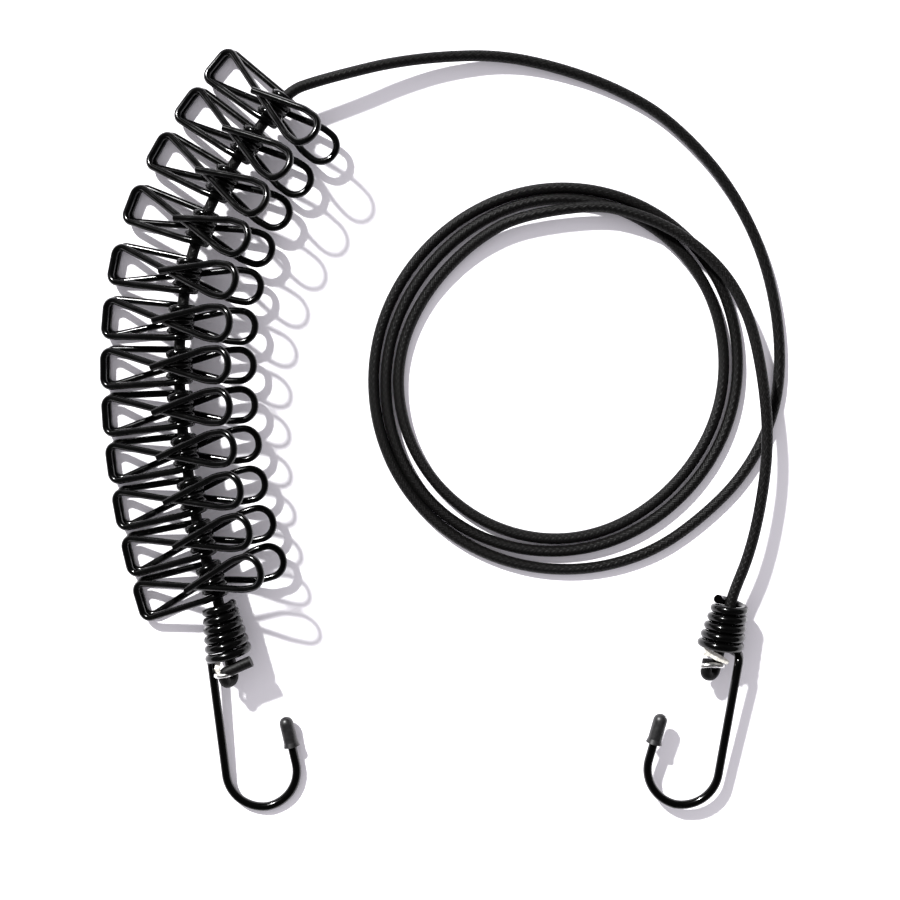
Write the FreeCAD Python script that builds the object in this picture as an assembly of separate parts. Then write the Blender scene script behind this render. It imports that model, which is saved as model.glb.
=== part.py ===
import FreeCAD, Part
import math
import os

# Travel clothesline: an elastic cord with twelve wire clips threaded on it and a wire hook at each end.
# Millimetres, +Z up. The line lies loosely laid out on a flat floor (z = 0).

V = FreeCAD.Vector
UP = V(0, 0, 1)

# Layout point that becomes the part's origin: the middle of the clips and hooks, on the floor.
ORIGIN = V(-9.9, 7.05, 0)

# ---- cord ----
CORD_DIAMETER = 4.0
CORD_ON_FLOOR = 2.05
CORD_CORNER_SHARE = 0.45

# ---- clip (wire with a plastic coat, bent from two identical arms and a coil round the cord) ----
CLIP_WIRE = 2.5
CLIP_COIL_RADIUS = 3.55
CLIP_COIL_PITCH = 2.56
CLIP_COIL_TURNS = 4.5
CLIP_AXIS_HEIGHT = 10.95
CLIP_TILT = 16.6
LEAD_OUT = 3.0
LEAD_BEND = 12.0
JAW_REACH = 29.2
JAW_HALF_WIDTH = 6.9
JAW_OFFSET = 1.27
JAW_CORNER = 3.0
DIAGONAL_SLOPE = 0.1695
DIAGONAL_END = (15.0, 5.9)
DIAGONAL_BEND = 19.0
HANDLE_REACH = 23.6
HANDLE_OFFSET = 11.0
HANDLE_SIDE_A = 5.9
HANDLE_SIDE_B = -5.15
HANDLE_CORNER = 5.3
LEG_START = V(14.0, 9.0, -5.15)
LEG_BEND = 12.0
LEG_CUT_END = V(-7.1, 7.85, 0.7)

# ---- hook (thicker wire, conical coil round the cord end) ----
HOOK_WIRE = 3.15
CONE_NARROW_RADIUS = 4.7
CONE_MOUTH_RADIUS = 6.95
CONE_TURNS = 5.5
CONE_PITCH = 3.25
SHANK_OFFSET = -3.0
SHANK_BEND = 3.0
BEND_RADIUS = 13.1
BEND_LEFT = -10.5
BEND_RIGHT = 16.2
BEND_FAR = 75.0
HOOK_TIP_S = 15.1
HOOK_TIP_D = 48.1

# ---- cap on the hook's tip ----
CAP_LENGTH = 11.0
CAP_RADIUS = 2.5
CAP_LIP_RADIUS = 2.9
CAP_LIP_LENGTH = 1.6
CAP_BORE_DEPTH = 7.0

# ---- folded cord end and the ring that crimps it ----
FOLD_START = 13.0
FOLD_TOP = 27.1
FOLD_BEND = 2.05
CRIMP_WIRE = 1.8
CRIMP_HALF_LENGTH = 4.5
CRIMP_HALF_HEIGHT = 2.85
CRIMP_CORNER = 2.8
CRIMP_HALF_GAP = 0.4
CRIMP_STATION = 23.8

# ---- the loose coil of cord on the floor, as one ring ----
COIL_HEIGHT = 5.0
COIL_OUTER_CENTRE = V(37.9, 25.7, 0)
COIL_OUTER_AXES = (67.5, 70.4)
COIL_INNER_CENTRE = V(40.2, 27.1, 0)
COIL_INNER_AXES = (55.8, 56.7)

# Points between neighbouring clips, from the first clip's outer side to the left hook (x, y).
CLIP_JUNCTIONS = [
    (-56.7, 127.0), (-66.9, 114.6), (-76.4, 101.6), (-84.6, 87.1), (-91.1, 70.2), (-94.4, 53.2),
    (-95.7, 37.4), (-95.6, 21.9), (-94.6, 6.8), (-92.6, -8.6), (-89.8, -23.9), (-86.2, -38.8),
]
LAST_JUNCTION = V(-81.9, -53.2, 10.85)

# The cord from the first clip round to the coil (x, y, z).
LEAD_ROUTE = [
    (-48.0, 131.6, 10.8), (-36.8, 134.9, 9.9), (-22.0, 138.8, 7.9), (-4.0, 142.2, 5.4),
    (18.3, 143.3, 3.4), (40.4, 138.2, 2.4), (60.5, 129.0, CORD_ON_FLOOR), (77.6, 117.3, CORD_ON_FLOOR),
    (97.0, 96.7, CORD_ON_FLOOR), (111.0, 72.9, CORD_ON_FLOOR), (118.6, 47.5, CORD_ON_FLOOR),
    (119.9, 23.1, CORD_ON_FLOOR), (114.5, 4.0, CORD_ON_FLOOR), (103.6, -11.2, CORD_ON_FLOOR),
    (90.0, -24.0, CORD_ON_FLOOR),
]

# The cord from the coil to the right hook (x, y, z).
TAIL_ROUTE = [
    (51.0, 87.5, 5.0), (64.0, 85.0, 6.2), (78.0, 79.5, 6.6), (90.5, 70.6, 7.5), (100.5, 59.0, 8.8),
    (107.2, 44.2, 10.5), (111.5, 22.9, 12.0), (112.8, 1.8, 12.5), (110.9, -19.4, 12.1),
    (106.6, -37.4, 11.4), (100.0, -51.7, 10.5),
]

# Each hook: middle of the cone's narrow end, heading (degrees from -y toward +x), nose-down pitch, roll.
HOOKS = {
    "left": {"narrow": V(-81.55, -55.05, 10.7), "heading": 10.3, "pitch": 4.6, "roll": 0.0},
    "right": {"narrow": V(99.5, -53.8, 10.3), "heading": -12.7, "pitch": 5.8, "roll": 180.0},
}

# Folded ends in each hook's own frame (s across, n up, d from the narrow end to the mouth).
FOLDS = {
    "left": {"across": V(-2.6, 3.3, 0), "rest": [(-2.7, 4.4, 23.3), (8.0, 5.0, 20.6)], "bends": [2.2],
             "crimp_tilt": 0.0},
    "right": {"across": V(3.3, -2.6, 0), "rest": [(3.6, -2.9, 21.5)], "bends": [], "crimp_tilt": 25.0},
}


def unit(vector):
    return vector / vector.Length


def rounded_path(points, radii):
    """Straight runs through the points, each inner corner rounded by a tangent arc of its radius."""
    edges = []
    start = points[0]
    for before, corner, after, radius in zip(points, points[1:], points[2:], radii):
        back = unit(before - corner)
        onward = unit(after - corner)
        half_angle = back.getAngle(onward) / 2
        setback = radius / math.tan(half_angle)
        arc_start = corner + back * setback
        arc_end = corner + onward * setback
        rise = radius / math.sin(half_angle) - radius
        arc_middle = corner + unit(back + onward) * rise
        edges.append(Part.LineSegment(start, arc_start).toShape())
        edges.append(Part.Arc(arc_start, arc_middle, arc_end).toShape())
        start = arc_end
    edges.append(Part.LineSegment(start, points[-1]).toShape())
    return Part.Wire(edges)


def cord_radii(points):
    """The largest comfortable radius at each inner point: a fixed share of the shorter run beside it."""
    radii = []
    for before, corner, after in zip(points, points[1:], points[2:]):
        back = before - corner
        onward = after - corner
        half_angle = back.getAngle(onward) / 2
        shorter = min(back.Length, onward.Length)
        radii.append(CORD_CORNER_SHARE * shorter * math.tan(half_angle))
    return radii


def tube(path, diameter, helical=False):
    """A round wire or cord swept along a path."""
    first = path.OrderedEdges[0]
    if first.Orientation == "Forward":
        parameter = first.FirstParameter
        tangent = first.tangentAt(parameter)
    else:
        parameter = first.LastParameter
        tangent = first.tangentAt(parameter) * -1
    ring = Part.Wire(Part.makeCircle(diameter / 2, first.valueAt(parameter), tangent))
    solid = path.makePipeShell([ring], True, helical)
    if solid.Volume < 0:
        solid.reverse()
    return solid


def report_tube(name, path, solid, diameter, radii):
    expected = math.pi * diameter ** 2 / 4 * path.Length
    print("%s: length %.1f, smallest bend radius %.1f, volume %.1f of %.1f"
          % (name, path.Length, min(radii), solid.Volume, expected))
    print("  radii", [round(radius, 1) for radius in radii])


def cord_tube(name, points):
    radii = cord_radii(points)
    path = rounded_path(points, radii)
    solid = tube(path, CORD_DIAMETER)
    report_tube(name, path, solid, CORD_DIAMETER, radii)
    return solid


def half_ellipse_disc(centre, axes, height):
    """An upright elliptical prism; the longer axis may lie along either x or y."""
    across, along = axes
    if across >= along:
        ellipse = Part.Ellipse(centre, across, along)
        face = Part.Face(Part.Wire(ellipse.toShape()))
    else:
        ellipse = Part.Ellipse(centre, along, across)
        face = Part.Face(Part.Wire(ellipse.toShape()))
        face.rotate(centre, UP, 90)
    return face.extrude(UP * height)


def cord_coil():
    outer = half_ellipse_disc(COIL_OUTER_CENTRE, COIL_OUTER_AXES, COIL_HEIGHT)
    inner = half_ellipse_disc(COIL_INNER_CENTRE, COIL_INNER_AXES, COIL_HEIGHT)
    return outer.cut(inner)


def clip_coil():
    """Coil round the cord, from its underside at one end to its top at the other."""
    height = CLIP_COIL_PITCH * CLIP_COIL_TURNS
    helix = Part.makeHelix(CLIP_COIL_PITCH, height, CLIP_COIL_RADIUS)
    helix.rotate(V(0, 0, 0), UP, -90)
    helix.translate(V(0, 0, -height / 2))
    return tube(helix, CLIP_WIRE, helical=True)


def clip_upper_arm():
    """One arm: from the coil out to the jaw, back over the coil, round the handle to its cut end."""
    coil_end = CLIP_COIL_PITCH * CLIP_COIL_TURNS / 2
    climb = CLIP_COIL_PITCH / (2 * math.pi * CLIP_COIL_RADIUS)
    end_x, end_z = DIAGONAL_END
    end_y = JAW_OFFSET + DIAGONAL_SLOPE * (end_x + JAW_REACH)
    points = [
        V(0, CLIP_COIL_RADIUS, coil_end),
        V(-LEAD_OUT, CLIP_COIL_RADIUS, coil_end + LEAD_OUT * climb),
        V(-JAW_REACH, JAW_OFFSET, JAW_HALF_WIDTH),
        V(-JAW_REACH, JAW_OFFSET, -JAW_HALF_WIDTH),
        V(end_x, end_y, end_z),
        V(HANDLE_REACH, HANDLE_OFFSET, HANDLE_SIDE_A),
        V(HANDLE_REACH, HANDLE_OFFSET, HANDLE_SIDE_B),
        LEG_START,
        LEG_CUT_END,
    ]
    radii = [LEAD_BEND, JAW_CORNER, JAW_CORNER, DIAGONAL_BEND, HANDLE_CORNER, HANDLE_CORNER, LEG_BEND]
    return tube(rounded_path(points, radii), CLIP_WIRE)


def clip_lower_arm():
    arm = clip_upper_arm()
    arm.rotate(V(0, 0, 0), V(1, 0, 0), 180)
    return arm


def hook_wire():
    """Conical coil, a bend into the shank, the round hook and its straight tip, in the hook's frame."""
    height = CONE_PITCH * CONE_TURNS
    widening = CONE_MOUTH_RADIUS - CONE_NARROW_RADIUS
    slope = math.atan2(widening, height)
    # makeHelix measures a cone's pitch and height along its slanted side.
    slant = 1 / math.cos(slope)
    helix = Part.makeHelix(CONE_PITCH * slant, height * slant, CONE_NARROW_RADIUS, math.degrees(slope))
    cone = tube(helix, HOOK_WIRE, helical=True)
    sweep = 2 * math.pi * CONE_TURNS
    leaving = unit(V(-widening / sweep, -CONE_MOUTH_RADIUS, height / sweep))
    cone_end = V(-CONE_MOUTH_RADIUS, 0, height)
    points = [
        cone_end,
        cone_end + leaving * abs(SHANK_OFFSET),
        V(BEND_LEFT, SHANK_OFFSET, BEND_FAR),
        V(BEND_RIGHT, SHANK_OFFSET, BEND_FAR),
        V(HOOK_TIP_S, SHANK_OFFSET, HOOK_TIP_D),
    ]
    shank = tube(rounded_path(points, [SHANK_BEND, BEND_RADIUS, BEND_RADIUS]), HOOK_WIRE)
    return cone.fuse(shank)


def hook_cap():
    """Sleeve with a slightly flared lip and a round closed end, pushed over the hook's tip."""
    barrel_length = CAP_LENGTH - CAP_RADIUS
    cap = Part.makeCylinder(CAP_RADIUS, barrel_length)
    cap = cap.fuse(Part.makeSphere(CAP_RADIUS, V(0, 0, barrel_length)))
    cap = cap.fuse(Part.makeCone(CAP_LIP_RADIUS, CAP_RADIUS, CAP_LIP_LENGTH))
    cap = cap.cut(Part.makeCylinder(HOOK_WIRE / 2, CAP_BORE_DEPTH))
    tip = V(HOOK_TIP_S, SHANK_OFFSET, HOOK_TIP_D)
    along = unit(tip - V(BEND_RIGHT, SHANK_OFFSET, BEND_FAR))
    cap.Placement = FreeCAD.Placement(tip - along * CAP_BORE_DEPTH, FreeCAD.Rotation(UP, along))
    return cap


def cord_fold(name, fold):
    """The cord's end: out of the mouth, folded back beside itself, up to its cut end."""
    points = [V(0, 0, FOLD_START), V(0, 0, FOLD_TOP), fold["across"] + V(0, 0, FOLD_TOP)]
    points += [V(*point) for point in fold["rest"]]
    radii = [FOLD_BEND, FOLD_BEND] + fold["bends"]
    path = rounded_path(points, radii)
    solid = tube(path, CORD_DIAMETER)
    report_tube(name, path, solid, CORD_DIAMETER, radii)
    return solid


def crimp(fold):
    """Wire ring squeezed round both strands of the fold, with a small gap on one long side."""
    length = CRIMP_HALF_LENGTH
    height = CRIMP_HALF_HEIGHT
    points = [V(CRIMP_HALF_GAP, height, 0), V(length, height, 0), V(length, -height, 0),
              V(-length, -height, 0), V(-length, height, 0), V(-CRIMP_HALF_GAP, height, 0)]
    ring = tube(rounded_path(points, [CRIMP_CORNER] * 4), CRIMP_WIRE)
    ring.rotate(V(0, 0, 0), V(1, 0, 0), fold["crimp_tilt"])
    across = fold["across"]
    turn = math.degrees(math.atan2(across.y, across.x))
    ring.rotate(V(0, 0, 0), UP, turn)
    ring.translate(across / 2 + V(0, 0, CRIMP_STATION))
    return ring


def frame_placement(origin, x_axis, y_axis, z_axis):
    rotation = FreeCAD.Rotation(x_axis, y_axis, z_axis, "ZXY")
    return FreeCAD.Placement(origin, rotation)


def clip_placement(start, end):
    """Coil axis along the run; handles toward the inner side, tilted up so the jaws reach the floor."""
    along = unit(end - start)
    level = unit(UP.cross(along))
    tilt = math.radians(CLIP_TILT)
    raised = unit(along.cross(level))
    x_axis = level * math.cos(tilt) + raised * math.sin(tilt)
    y_axis = raised * math.cos(tilt) - level * math.sin(tilt)
    return frame_placement((start + end) / 2, x_axis, y_axis, along)


def hook_axes(hook):
    heading = math.radians(hook["heading"])
    pitch = math.radians(hook["pitch"])
    d_axis = V(math.sin(heading) * math.cos(pitch), -math.cos(heading) * math.cos(pitch), -math.sin(pitch))
    s_axis = V(math.cos(heading), math.sin(heading), 0)
    if hook["roll"] == 180.0:
        s_axis = s_axis * -1
    return s_axis, d_axis.cross(s_axis), d_axis


def along_hook(hook, distance):
    return hook["narrow"] + hook_axes(hook)[2] * distance


def placed(shape, placement):
    copy = shape.copy()
    copy.Placement = placement.multiply(copy.Placement)
    return copy


def save(name, shape):
    shape.translate(ORIGIN * -1)
    if not shape.isValid() or len(shape.Solids) != 1:
        print("PROBLEM", name, "valid", shape.isValid(), "solids", len(shape.Solids))
    shape.exportStep("parts/" + name + ".step")
    return shape


def clip_joints():
    points = [V(x, y, CLIP_AXIS_HEIGHT) for x, y in CLIP_JUNCTIONS]
    return points + [LAST_JUNCTION]


def build_cord(nodes):
    left = HOOKS["left"]
    right = HOOKS["right"]
    lead = [along_hook(left, FOLD_START), along_hook(left, FOLD_START / 2)]
    lead += reversed(clip_joints())
    lead += [V(*point) for point in LEAD_ROUTE]
    tail = [V(*point) for point in TAIL_ROUTE]
    tail += [along_hook(right, FOLD_START / 2), along_hook(right, FOLD_START)]
    nodes["cord_lead"] = cord_tube("cord_lead", lead)
    nodes["cord_coil"] = cord_coil()
    nodes["cord_tail"] = cord_tube("cord_tail", tail)


def build_hooks(nodes):
    wire = hook_wire()
    cap = hook_cap()
    for side, hook in HOOKS.items():
        placement = frame_placement(hook["narrow"], *hook_axes(hook))
        nodes["hook_" + side] = placed(wire, placement)
        nodes["cap_" + side] = placed(cap, placement)
        nodes["cord_fold_" + side] = placed(cord_fold("cord_fold_" + side, FOLDS[side]), placement)
        nodes["crimp_" + side] = placed(crimp(FOLDS[side]), placement)


def build_clips(nodes):
    coil = clip_coil()
    upper = clip_upper_arm()
    lower = clip_lower_arm()
    junctions = clip_joints()
    for number, (start, end) in enumerate(zip(junctions, junctions[1:]), 1):
        placement = clip_placement(start, end)
        name = "clip_%02d_" % number
        nodes[name + "coil"] = placed(coil, placement)
        nodes[name + "lower_arm"] = placed(lower, placement)
        nodes[name + "upper_arm"] = placed(upper, placement)


def main():
    nodes = {}
    build_cord(nodes)
    build_hooks(nodes)
    build_clips(nodes)
    for name, shape in nodes.items():
        save(name, shape)
    solid_nodes = [shape for name, shape in nodes.items()
                   if name not in ("cord_lead", "cord_coil", "cord_tail")]
    box = solid_nodes[0].optimalBoundingBox()
    for shape in solid_nodes[1:]:
        box.add(shape.optimalBoundingBox())
    print("clips and hooks: x %.2f %.2f, y %.2f %.2f, z %.2f %.2f"
          % (box.XMin, box.XMax, box.YMin, box.YMax, box.ZMin, box.ZMax))


main()
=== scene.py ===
import math

import bpy
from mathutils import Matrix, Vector


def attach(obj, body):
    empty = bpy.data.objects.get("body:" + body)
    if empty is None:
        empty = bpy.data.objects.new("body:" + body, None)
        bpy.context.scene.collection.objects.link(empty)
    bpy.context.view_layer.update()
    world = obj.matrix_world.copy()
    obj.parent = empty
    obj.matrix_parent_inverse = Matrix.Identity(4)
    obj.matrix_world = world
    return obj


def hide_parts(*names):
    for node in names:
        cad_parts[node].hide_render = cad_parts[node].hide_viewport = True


# Travel clothesline, laid out on a white floor and seen from straight above.
# Everything is in metres, unless its name ends in MM.

MM = 0.001

# The routes below are measured from the point under the camera, and the frame's origin is here from it.
LAYOUT_SHIFT = Vector((-0.0099, 0.00705, 0.0))

# ---- camera ----
CAMERA_HEIGHT = 0.600
SEEN_WIDTH = 0.324
SENSOR_WIDTH = 36.0

# ---- lights ----
KEY_DIRECTION = Vector((-0.60, 0.80, 0.92))
KEY_ANGLE = math.radians(3.5)
KEY_STRENGTH = 7.4
FILL_COLOUR = (0.965, 0.935, 1.0)
FILL_STRENGTH = 0.72
MIRRORED_STRENGTH = 0.08

# ---- floor ----
FLOOR_SIZE = 60.0
FLOOR_COLOUR = (0.93, 0.92, 0.94, 1.0)

# ---- cord ----
CORD_DIAMETER = 0.004
CORD_ON_FLOOR = 0.00205
CORD_LENGTH = 1.75
BRAID_PITCH = 0.0026
BRAID_CARRIERS = 6
STEPS_AROUND_CORD = 6
STEPS_PER_POINT = 10

# The cord inside the left hook's cone, from the fold back to the last clip.
LEFT_END = [(-0.07923, -0.06780, 0.00966), (-0.08039, -0.06142, 0.01018), (-0.0819, -0.0532, 0.01085)]

# Under the clips, from the one beside the left hook to the far one (x, y).
UNDER_CLIPS = [
    (-0.0862, -0.0388), (-0.0898, -0.0239), (-0.0926, -0.0086), (-0.0946, 0.0068), (-0.0956, 0.0219),
    (-0.0957, 0.0374), (-0.0944, 0.0532), (-0.0911, 0.0702), (-0.0846, 0.0871), (-0.0764, 0.1016),
    (-0.0669, 0.1146), (-0.0567, 0.1270),
]
CLIP_AXIS_HEIGHT = 0.01095

# From the far clip round to the coil (x, y, z).
LEAD_ROUTE = [
    (-0.0480, 0.1301, 0.0108), (-0.0362, 0.1335, 0.0099), (-0.0216, 0.1375, 0.0079),
    (-0.0038, 0.1404, 0.0054), (0.0181, 0.1414, 0.0034), (0.0400, 0.1369, 0.0024),
    (0.0607, 0.1293, CORD_ON_FLOOR), (0.0787, 0.1186, CORD_ON_FLOOR), (0.0985, 0.0978, CORD_ON_FLOOR),
    (0.1116, 0.0732, CORD_ON_FLOOR), (0.1179, 0.0474, CORD_ON_FLOOR), (0.1185, 0.0232, CORD_ON_FLOOR),
    (0.1132, 0.0046, CORD_ON_FLOOR), (0.1036, -0.0112, CORD_ON_FLOOR),
]

# The coil on the floor, clockwise from the lower right: its distance from its middle at every eighth of a
# turn, one row to a turn. Angles are in degrees.
COIL_CENTRE = (0.0395, 0.0262)
COIL_FIRST_ANGLE = -45
COIL_CHOSEN_EVERY = 45
COIL_STEPS_BETWEEN = 3
COIL_TURNS_MM = [
    (71.5, 69.5, 69.0, 67.5, 67.0, 68.5, 68.0, 64.0),
    (61.5, 63.0, 65.0, 63.0, 62.0, 64.5, 63.0, 59.0),
    (56.5, 58.5, 59.0, 58.5, 56.5, 60.5),
]
# The last pass climbs, to lie across the two before it.
COIL_LAST_HEIGHTS = [0.0026, 0.0036, 0.0050]

# From the coil to the right hook (x, y, z).
TAIL_ROUTE = [
    (0.0510, 0.0875, 0.0059), (0.0640, 0.0850, 0.0062), (0.0780, 0.0795, 0.0066), (0.0905, 0.0706, 0.0075),
    (0.1005, 0.0590, 0.0088), (0.1070, 0.0441, 0.0105), (0.1109, 0.0228, 0.0120), (0.1123, 0.0018, 0.0125),
    (0.1098, -0.0192, 0.0121), (0.1057, -0.0371, 0.0114), (0.0998, -0.0516, 0.0105),
]
RIGHT_END = [(0.09808, -0.06011, 0.00964), (0.09666, -0.06642, 0.00899)]

# ---- torn ends of the crimps: the middle line of each (x, y, z) and its widths, from end to end ----
RIGHT_TAB = [
    (0.0882, -0.0705, 0.0110), (0.0901, -0.0713, 0.0113), (0.0922, -0.0720, 0.0112),
    (0.0943, -0.0731, 0.0114), (0.0964, -0.0741, 0.0112), (0.0983, -0.0752, 0.0109),
]
RIGHT_TAB_WIDTHS = [0.0013, 0.0024, 0.0021, 0.0025, 0.0020, 0.0014]
LEFT_TAB = [
    (-0.0812, -0.0786, 0.0138), (-0.0819, -0.0768, 0.0142), (-0.0815, -0.0752, 0.0138),
    (-0.0822, -0.0738, 0.0131),
]
LEFT_TAB_WIDTHS = [0.0014, 0.0019, 0.0016, 0.0021]
TAB_THICKNESS = 0.0009


def material(name):
    made = bpy.data.materials.new(name)
    made.use_nodes = True
    return made, made.node_tree, made.node_tree.nodes["Principled BSDF"]


def bump_from(tree, height, strength, distance):
    bump = tree.nodes.new("ShaderNodeBump")
    bump.inputs["Strength"].default_value = strength
    bump.inputs["Distance"].default_value = distance
    tree.links.new(height, bump.inputs["Height"])
    return bump.outputs["Normal"]


def noise(tree, scale, detail=2.0, roughness=0.5):
    coordinates = tree.nodes.new("ShaderNodeTexCoord")
    texture = tree.nodes.new("ShaderNodeTexNoise")
    texture.inputs["Scale"].default_value = scale
    texture.inputs["Detail"].default_value = detail
    texture.inputs["Roughness"].default_value = roughness
    tree.links.new(coordinates.outputs["Object"], texture.inputs["Vector"])
    return texture.outputs["Fac"]


def ramp(tree, source, stops):
    """A colour ramp through (position, grey or colour) stops."""
    node = tree.nodes.new("ShaderNodeValToRGB")
    elements = node.color_ramp.elements
    while len(elements) < len(stops):
        elements.new(0.5)
    for element, (position, colour) in zip(elements, stops):
        element.position = position
        if isinstance(colour, float):
            colour = (colour, colour, colour)
        element.color = (*colour, 1.0)
    tree.links.new(source, node.inputs["Fac"])
    return node.outputs["Color"]


def coated_wire_material():
    """Glossy black PVC dip over wire: slightly uneven, with a little dust and rubbed dull spots."""
    made, tree, shader = material("coated_wire")
    shader.inputs["Specular IOR Level"].default_value = 0.30
    dust = noise(tree, 700.0, detail=6.0, roughness=0.7)
    colour = ramp(tree, dust, [(0.0, 0.0005), (0.66, 0.0009), (0.76, 0.007)])
    tree.links.new(colour, shader.inputs["Base Color"])
    rubbed = noise(tree, 220.0, detail=4.0)
    tree.links.new(ramp(tree, rubbed, [(0.35, 0.12), (0.7, 0.21)]), shader.inputs["Roughness"])
    uneven = noise(tree, 320.0, detail=3.0)
    tree.links.new(bump_from(tree, uneven, 0.35, 0.00010), shader.inputs["Normal"])
    return made


def maths(tree, operation, first, second=None):
    node = tree.nodes.new("ShaderNodeMath")
    node.operation = operation
    for socket, value in zip(node.inputs, (first, second)):
        if value is None:
            continue
        if isinstance(value, (int, float)):
            socket.default_value = value
        else:
            tree.links.new(value, socket)
    return node.outputs["Value"]


def braid_height(tree, along_repeats, around_repeats):
    """Two families of yarns running round the cord both ways, going over and under each other."""
    coordinates = tree.nodes.new("ShaderNodeUVMap")
    split = tree.nodes.new("ShaderNodeSeparateXYZ")
    tree.links.new(coordinates.outputs["UV"], split.inputs["Vector"])
    along = maths(tree, "MULTIPLY", split.outputs["X"], along_repeats)
    around = maths(tree, "MULTIPLY", split.outputs["Y"], around_repeats)
    right = maths(tree, "ADD", along, around)
    left = maths(tree, "SUBTRACT", along, around)
    yarns = []
    for family in (right, left):
        wave = maths(tree, "SINE", maths(tree, "MULTIPLY", family, 2 * math.pi))
        yarns.append(maths(tree, "ABSOLUTE", wave))
    over = maths(tree, "SINE", maths(tree, "MULTIPLY", right, math.pi))
    under = maths(tree, "SINE", maths(tree, "MULTIPLY", left, math.pi))
    turn = maths(tree, "GREATER_THAN", maths(tree, "MULTIPLY", over, under), 0.0)
    other = maths(tree, "SUBTRACT", 1.0, turn)
    first = maths(tree, "MULTIPLY", yarns[0], turn)
    second = maths(tree, "MULTIPLY", yarns[1], other)
    return maths(tree, "ADD", first, second)


def cord_material(name, along_repeats, around_repeats):
    """Fine black braid, painted lighter on the yarn crowns as a painted sheen and darker in the grooves
    between yarns as painted shade.
    """
    made, tree, shader = material(name)
    shader.inputs["Roughness"].default_value = 0.44
    shader.inputs["Specular IOR Level"].default_value = 0.11
    height = braid_height(tree, along_repeats, around_repeats)
    # Painted shade: the colour darkens down into the grooves between the yarns, and the yarn crowns are
    # painted lighter as a sheen highlight.
    stops = [(0.0, 0.0006), (0.5, (0.0016, 0.0015, 0.0015)), (1.0, (0.0055, 0.0052, 0.0050))]
    colour = ramp(tree, height, stops)
    tree.links.new(colour, shader.inputs["Base Color"])
    tree.links.new(bump_from(tree, height, 0.8, 0.00012), shader.inputs["Normal"])
    return made


def fold_material():
    """The same braid on the folded ends, which have no lengthwise coordinates of their own; as on the cord,
    its colour is painted lighter where the weave rises as a painted sheen and darker in its hollows as
    painted shade.
    """
    made, tree, shader = material("cord_fold")
    shader.inputs["Roughness"].default_value = 0.5
    shader.inputs["Specular IOR Level"].default_value = 0.16
    weave_and_painted_shade = noise(tree, 1500.0, detail=2.0)
    # Painted shade in the weave's hollows and a painted sheen where it rises, from the same noise as the
    # bump.
    colour = ramp(tree, weave_and_painted_shade, [(0.3, 0.0006), (0.7, (0.0048, 0.0045, 0.0045))])
    tree.links.new(colour, shader.inputs["Base Color"])
    tree.links.new(bump_from(tree, weave_and_painted_shade, 0.7, 0.00015), shader.inputs["Normal"])
    return made


def rubber_material():
    """Matte black rubber cap with a faint bloom."""
    made, tree, shader = material("cap_rubber")
    bloom = noise(tree, 500.0, detail=5.0, roughness=0.6)
    colour = ramp(tree, bloom, [(0.3, 0.004), (0.75, (0.012, 0.0116, 0.0125))])
    tree.links.new(colour, shader.inputs["Base Color"])
    tree.links.new(ramp(tree, bloom, [(0.3, 0.36), (0.8, 0.55)]), shader.inputs["Roughness"])
    tree.links.new(bump_from(tree, noise(tree, 1400.0, detail=3.0), 0.3, 0.00006), shader.inputs["Normal"])
    return made


def crimp_material():
    """Bright zinc-plated wire, scuffed where it was squeezed."""
    made, tree, shader = material("crimp_metal")
    shader.inputs["Metallic"].default_value = 1.0
    scuff = noise(tree, 900.0, detail=6.0, roughness=0.7)
    colour = ramp(tree, scuff, [(0.3, (0.50, 0.49, 0.47)), (0.6, (0.86, 0.86, 0.85))])
    tree.links.new(colour, shader.inputs["Base Color"])
    tree.links.new(ramp(tree, scuff, [(0.3, 0.45), (0.7, 0.22)]), shader.inputs["Roughness"])
    tree.links.new(bump_from(tree, scuff, 0.4, 0.00012), shader.inputs["Normal"])
    return made


def torn_metal_material():
    """The pale, dull face of the crimp where it was cut and torn."""
    made, tree, shader = material("torn_metal")
    shader.inputs["Metallic"].default_value = 0.35
    shader.inputs["Roughness"].default_value = 0.5
    scuff = noise(tree, 1600.0, detail=5.0, roughness=0.7)
    colour = ramp(tree, scuff, [(0.35, (0.42, 0.40, 0.36)), (0.6, (0.86, 0.84, 0.77))])
    tree.links.new(colour, shader.inputs["Base Color"])
    tree.links.new(bump_from(tree, scuff, 0.8, 0.00025), shader.inputs["Normal"])
    return made


def floor_material():
    made, tree, shader = material("floor")
    shader.inputs["Base Color"].default_value = FLOOR_COLOUR
    shader.inputs["Roughness"].default_value = 0.85
    shader.inputs["Specular IOR Level"].default_value = 0.2
    return made


def use_material(obj, made):
    obj.data.materials.clear()
    obj.data.materials.append(made)


def dress_cad_nodes(nodes):
    wire = coated_wire_material()
    rubber = rubber_material()
    crimp = crimp_material()
    fold = fold_material()
    for name, obj in nodes.items():
        if name.startswith("cap_"):
            use_material(obj, rubber)
        elif name.startswith("crimp_"):
            use_material(obj, crimp)
        elif name.startswith("cord_"):
            use_material(obj, fold)
        else:
            use_material(obj, wire)


def eased(before, start, end, after, part):
    """The value a part of the way from start to end, on a smooth curve through all four."""
    slope = end - before
    bend = 2 * before - 5 * start + 4 * end - after
    twist = 3 * (start - end) + after - before
    return start + 0.5 * (slope * part + bend * part**2 + twist * part**3)


def coil_radii():
    """The coil's distances from its middle, in metres: the chosen ones with smooth steps between them."""
    chosen = [distance * MM for turn in COIL_TURNS_MM for distance in turn]
    last = len(chosen) - 1
    radii = []
    for index in range(last):
        near = [chosen[max(index - 1, 0)], chosen[index], chosen[index + 1], chosen[min(index + 2, last)]]
        for step in range(COIL_STEPS_BETWEEN):
            radii.append(eased(*near, step / COIL_STEPS_BETWEEN))
    return radii


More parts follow.
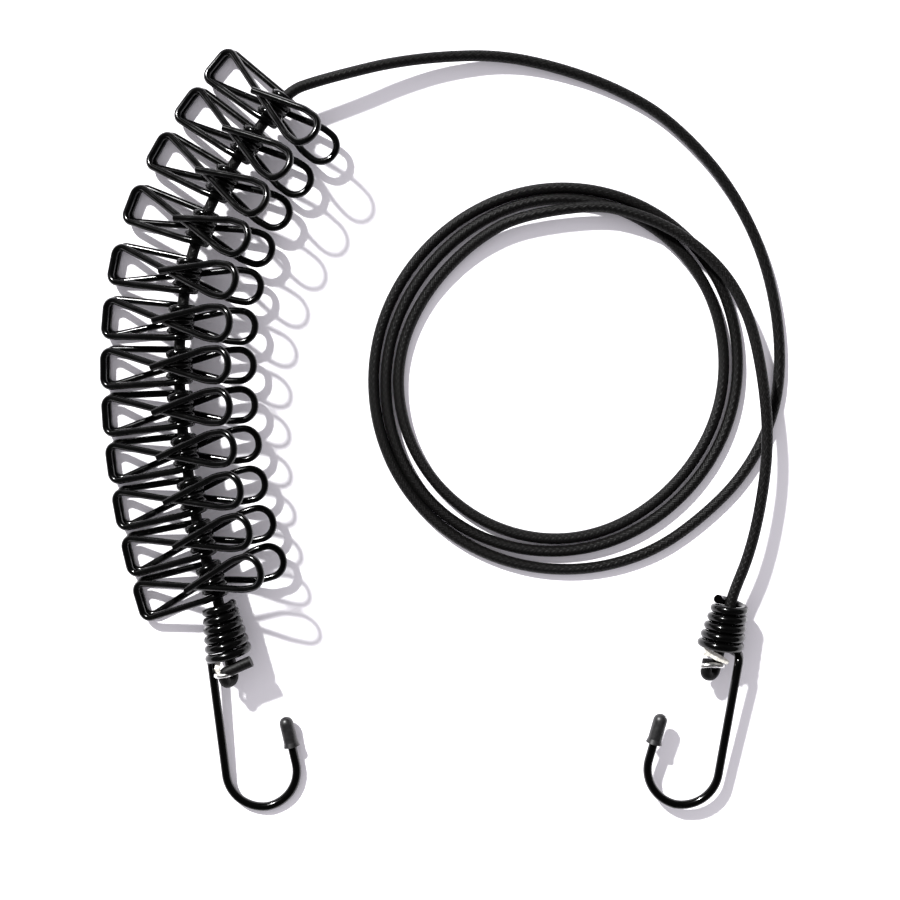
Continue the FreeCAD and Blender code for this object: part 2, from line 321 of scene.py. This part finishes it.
def coil_points():
    """The turns of the coil, flat on the floor but for the climb at its end."""
    radii = coil_radii()
    flat = len(radii) - len(COIL_LAST_HEIGHTS)
    heights = [CORD_ON_FLOOR] * flat + COIL_LAST_HEIGHTS
    points = []
    for step, (radius, height) in enumerate(zip(radii, heights)):
        angle = math.radians(COIL_FIRST_ANGLE - step * COIL_CHOSEN_EVERY / COIL_STEPS_BETWEEN)
        x = COIL_CENTRE[0] + radius * math.cos(angle)
        y = COIL_CENTRE[1] + radius * math.sin(angle)
        points.append((x, y, height))
    return points


def cord_points():
    under_clips = [(x, y, CLIP_AXIS_HEIGHT) for x, y in UNDER_CLIPS]
    layout = LEFT_END + under_clips + LEAD_ROUTE + coil_points() + TAIL_ROUTE + RIGHT_END
    return [Vector(point) - LAYOUT_SHIFT for point in layout]


def make_cord():
    curve = bpy.data.curves.new("cord", "CURVE")
    curve.dimensions = "3D"
    curve.bevel_depth = CORD_DIAMETER / 2
    curve.bevel_resolution = STEPS_AROUND_CORD
    curve.resolution_u = STEPS_PER_POINT
    spline = curve.splines.new("NURBS")
    points = cord_points()
    spline.points.add(len(points) - 1)
    for control, point in zip(spline.points, points):
        control.co = (*point, 1.0)
    spline.order_u = 3
    spline.use_endpoint_u = True
    cord = bpy.data.objects.new("cord", curve)
    bpy.context.scene.collection.objects.link(cord)
    repeats = CORD_LENGTH / BRAID_PITCH
    curve.materials.append(cord_material("cord_fabric", repeats, BRAID_CARRIERS))
    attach(cord, "line")
    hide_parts("cord_lead", "cord_coil", "cord_tail")


def make_tab(name, body, line, widths, made):
    """A flattened, ragged strip of the crimp's wire: a four-sided section at each point of a line."""
    points = [Vector(point) - LAYOUT_SHIFT for point in line]
    lift = Vector((0, 0, TAB_THICKNESS / 2))
    vertices = []
    for index, (point, width) in enumerate(zip(points, widths)):
        onward = points[min(index + 1, len(points) - 1)] - points[max(index - 1, 0)]
        side = onward.cross(Vector((0, 0, 1))).normalized() * width / 2
        vertices += [point - side - lift, point + side - lift, point + side + lift, point - side + lift]
    faces = [(3, 2, 1, 0)]
    last = len(vertices) - 4
    for start in range(0, last, 4):
        for corner in range(4):
            following = (corner + 1) % 4
            faces.append((start + corner, start + following, start + following + 4, start + corner + 4))
    faces.append((last, last + 1, last + 2, last + 3))
    mesh = bpy.data.meshes.new(name)
    mesh.from_pydata(vertices, [], faces)
    mesh.update()
    tab = bpy.data.objects.new(name, mesh)
    bpy.context.scene.collection.objects.link(tab)
    mesh.materials.append(made)
    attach(tab, body)


def make_tabs():
    made = torn_metal_material()
    make_tab("crimp_tab_right", "hook_right", RIGHT_TAB, RIGHT_TAB_WIDTHS, made)
    make_tab("crimp_tab_left", "hook_left", LEFT_TAB, LEFT_TAB_WIDTHS, made)


def make_floor():
    bpy.ops.mesh.primitive_plane_add(size=FLOOR_SIZE, location=(0, 0, 0))
    floor = bpy.context.object
    floor.name = "floor"
    use_material(floor, floor_material())


def make_sky():
    """Soft fill from all round; what the gloss mirrors is dimmer, as white panels filled only part of it."""
    world = bpy.data.worlds.new("studio")
    bpy.context.scene.world = world
    world.use_nodes = True
    tree = world.node_tree
    coordinates = tree.nodes.new("ShaderNodeTexCoord")
    split = tree.nodes.new("ShaderNodeSeparateXYZ")
    tree.links.new(coordinates.outputs["Generated"], split.inputs["Vector"])
    mirrored = ramp(tree, split.outputs["Z"], [(0.0, 0.9), (0.45, 1.0), (0.72, 0.7), (0.90, 0.12)])
    fill = tree.nodes["Background"]
    fill.inputs["Color"].default_value = (*FILL_COLOUR, 1.0)
    fill.inputs["Strength"].default_value = FILL_STRENGTH
    panels = tree.nodes.new("ShaderNodeBackground")
    tree.links.new(mirrored, panels.inputs["Color"])
    panels.inputs["Strength"].default_value = MIRRORED_STRENGTH
    path = tree.nodes.new("ShaderNodeLightPath")
    mix = tree.nodes.new("ShaderNodeMixShader")
    tree.links.new(path.outputs["Is Glossy Ray"], mix.inputs["Fac"])
    tree.links.new(fill.outputs["Background"], mix.inputs[1])
    tree.links.new(panels.outputs["Background"], mix.inputs[2])
    tree.links.new(mix.outputs["Shader"], tree.nodes["World Output"].inputs["Surface"])


def make_key_light():
    data = bpy.data.lights.new("key", "SUN")
    data.angle = KEY_ANGLE
    data.energy = KEY_STRENGTH
    light = bpy.data.objects.new("key", data)
    light.rotation_mode = "QUATERNION"
    light.rotation_quaternion = (-KEY_DIRECTION).to_track_quat("-Z", "Y")
    bpy.context.scene.collection.objects.link(light)


def make_camera():
    data = bpy.data.cameras.new("camera")
    data.sensor_width = SENSOR_WIDTH
    data.lens = SENSOR_WIDTH * CAMERA_HEIGHT / SEEN_WIDTH
    camera = bpy.data.objects.new("camera", data)
    camera.location = Vector((0, 0, CAMERA_HEIGHT)) - LAYOUT_SHIFT
    bpy.context.scene.collection.objects.link(camera)
    bpy.context.scene.camera = camera


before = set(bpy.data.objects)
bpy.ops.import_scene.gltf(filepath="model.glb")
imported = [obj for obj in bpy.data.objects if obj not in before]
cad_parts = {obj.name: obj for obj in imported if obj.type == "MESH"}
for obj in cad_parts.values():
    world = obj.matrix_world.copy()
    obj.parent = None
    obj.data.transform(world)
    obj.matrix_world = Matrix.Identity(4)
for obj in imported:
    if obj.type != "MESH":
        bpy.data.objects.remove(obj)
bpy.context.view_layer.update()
bpy.context.scene.view_settings.view_transform = "Standard"
make_camera()
make_sky()
make_key_light()
make_floor()
dress_cad_nodes(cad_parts)
make_cord()
make_tabs()
